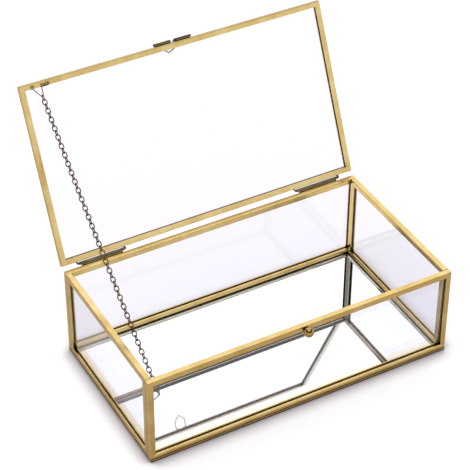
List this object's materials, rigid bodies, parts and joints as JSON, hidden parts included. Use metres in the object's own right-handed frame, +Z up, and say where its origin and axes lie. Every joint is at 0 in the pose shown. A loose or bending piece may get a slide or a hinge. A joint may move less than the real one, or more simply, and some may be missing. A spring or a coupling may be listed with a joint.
{
  "type": "wedding card box",
  "caption": "Glass and brass came wedding card box with a mirrored base, a hinged glass lid on a chain stay, and a wire latch.",
  "frame": {"origin": "middle of the underside, where the box stands on the table", "axes": "+X along the box's length towards its right end, +Y towards the hinge at the back, +Z up"},
  "size_m": [0.254, 0.2197, 0.2075],
  "materials": {
    "came": "polished",
    "fitting": "satin",
    "chain": "polished",
    "solder": "satin",
    "glass": "clear",
    "mirror": "silvered"
  },
  "bodies": {
    "box_body": {"front_glass": "glass", "front_top_rail": "came", "front_bottom_rail": "came", "front_left_stile": "came", "front_right_stile": "came", "back_glass": "glass", "back_top_rail": "came", "back_bottom_rail": "came", "back_left_stile": "came", "back_right_stile": "came", "left_glass": "glass", "left_top_rail": "came", "left_bottom_rail": "came", "left_front_stile": "came", "left_back_stile": "came", "right_glass": "glass", "right_top_rail": "came", "right_bottom_rail": "came", "right_front_stile": "came", "right_back_stile": "came", "base_mirror": "mirror", "base_front_came": "came", "base_back_came": "came", "base_left_came": "came", "base_right_came": "came", "hinge_tube_left": "fitting", "hinge_tube_right": "fitting", "hinge_solder": "solder", "ball_catch": "fitting", "chain_eye": "chain", "stay_chain": "chain"},
    "lid": {"lid_glass": "glass", "lid_front_rail": "came", "lid_hinge_rail": "came", "lid_left_rail": "came", "lid_right_rail": "came", "hinge_wire_left": "fitting", "hinge_wire_right": "fitting", "latch_tube_left": "fitting", "latch_tube_right": "fitting", "latch_solder": "solder", "chain_staple": "chain"},
    "latch": {"latch_loop": "fitting"}
  },
  "joints": [
    {"name": "lid_hinge", "type": "hinge", "parent": "box_body", "child": "lid", "pos_m": [0, 0.0716, 0.0787], "axis": [1, 0, 0], "range_deg": [0, 114.7], "deforming": ["stay_chain"]},
    {"name": "latch_pivot", "type": "hinge", "parent": "lid", "child": "latch", "pos_m": [0, 0.13435, 0.20652], "axis": [1, 0, 0], "range_deg": [0, 215]}
  ]
}
